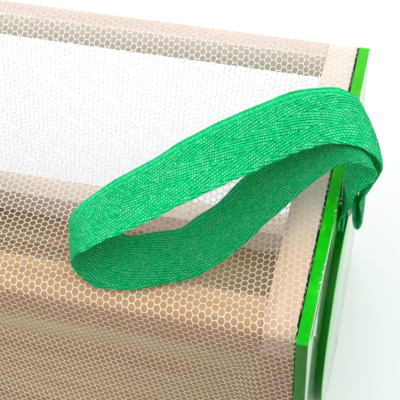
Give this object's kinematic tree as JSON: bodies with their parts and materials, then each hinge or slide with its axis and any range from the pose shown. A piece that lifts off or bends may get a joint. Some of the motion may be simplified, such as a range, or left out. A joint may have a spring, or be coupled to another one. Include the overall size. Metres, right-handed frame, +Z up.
{
  "type": "insect cage",
  "caption": "Long wood-framed insect cage wrapped in net, with lacquered end panels, a swivelling round cover over its hole and a tape carrying loop.",
  "frame": {"origin": "middle of the floor plate's underside, on the surface the cage stands on", "axes": "+X along the cage towards the panel with the swivel cover, +Y to the back, +Z up"},
  "size_m": [0.2249, 0.1404, 0.1631],
  "materials": {
    "green_lacquer": "high-gloss green lacquer on a thin wood panel",
    "bar_wood": "bare pale wood, planed smooth",
    "floor_wood": "bare light-brown plywood",
    "net_cloth": "cream-white hexagonal net, matt",
    "green_tape": "matt herringbone cotton tape",
    "steel": "plain steel"
  },
  "bodies": {
    "cage": {"right_end_panel": "green_lacquer", "left_end_panel": "green_lacquer", "front_top_bar": "bar_wood", "back_top_bar": "bar_wood", "front_bottom_bar": "bar_wood", "back_bottom_bar": "bar_wood", "right_top_bar": "bar_wood", "right_bottom_bar": "bar_wood", "left_top_bar": "bar_wood", "left_bottom_bar": "bar_wood", "right_front_post": "bar_wood", "right_back_post": "bar_wood", "left_front_post": "bar_wood", "left_back_post": "bar_wood", "floor_plate": "floor_wood", "top_net": "net_cloth", "front_net": "net_cloth", "back_net": "net_cloth", "tape_ends": "green_tape", "pivot_screw": "steel", "pivot_washer": "steel", "pivot_nut": "steel", "tape_screw": "steel", "tape_washer": "steel", "right_panel_pin_1": "steel", "right_panel_pin_2": "steel", "right_panel_pin_3": "steel", "right_panel_pin_4": "steel", "left_panel_pin_1": "steel", "left_panel_pin_2": "steel", "left_panel_pin_3": "steel", "left_panel_pin_4": "steel"},
    "cover": {"swivel_cover": "green_lacquer"},
    "loop": {"carry_loop": "green_tape"}
  },
  "joints": [
    {"name": "cover_swivel", "type": "hinge", "parent": "cage", "child": "cover", "pos_m": [0.105, 0, 0.025], "axis": [1, 0, 0], "range_deg": [-180, 180]},
    {"name": "loop_lift", "type": "hinge", "parent": "cage", "child": "loop", "pos_m": [0.1168, 0, 0.1406], "axis": [0, 1, 0], "range_deg": [0, 110]}
  ]
}
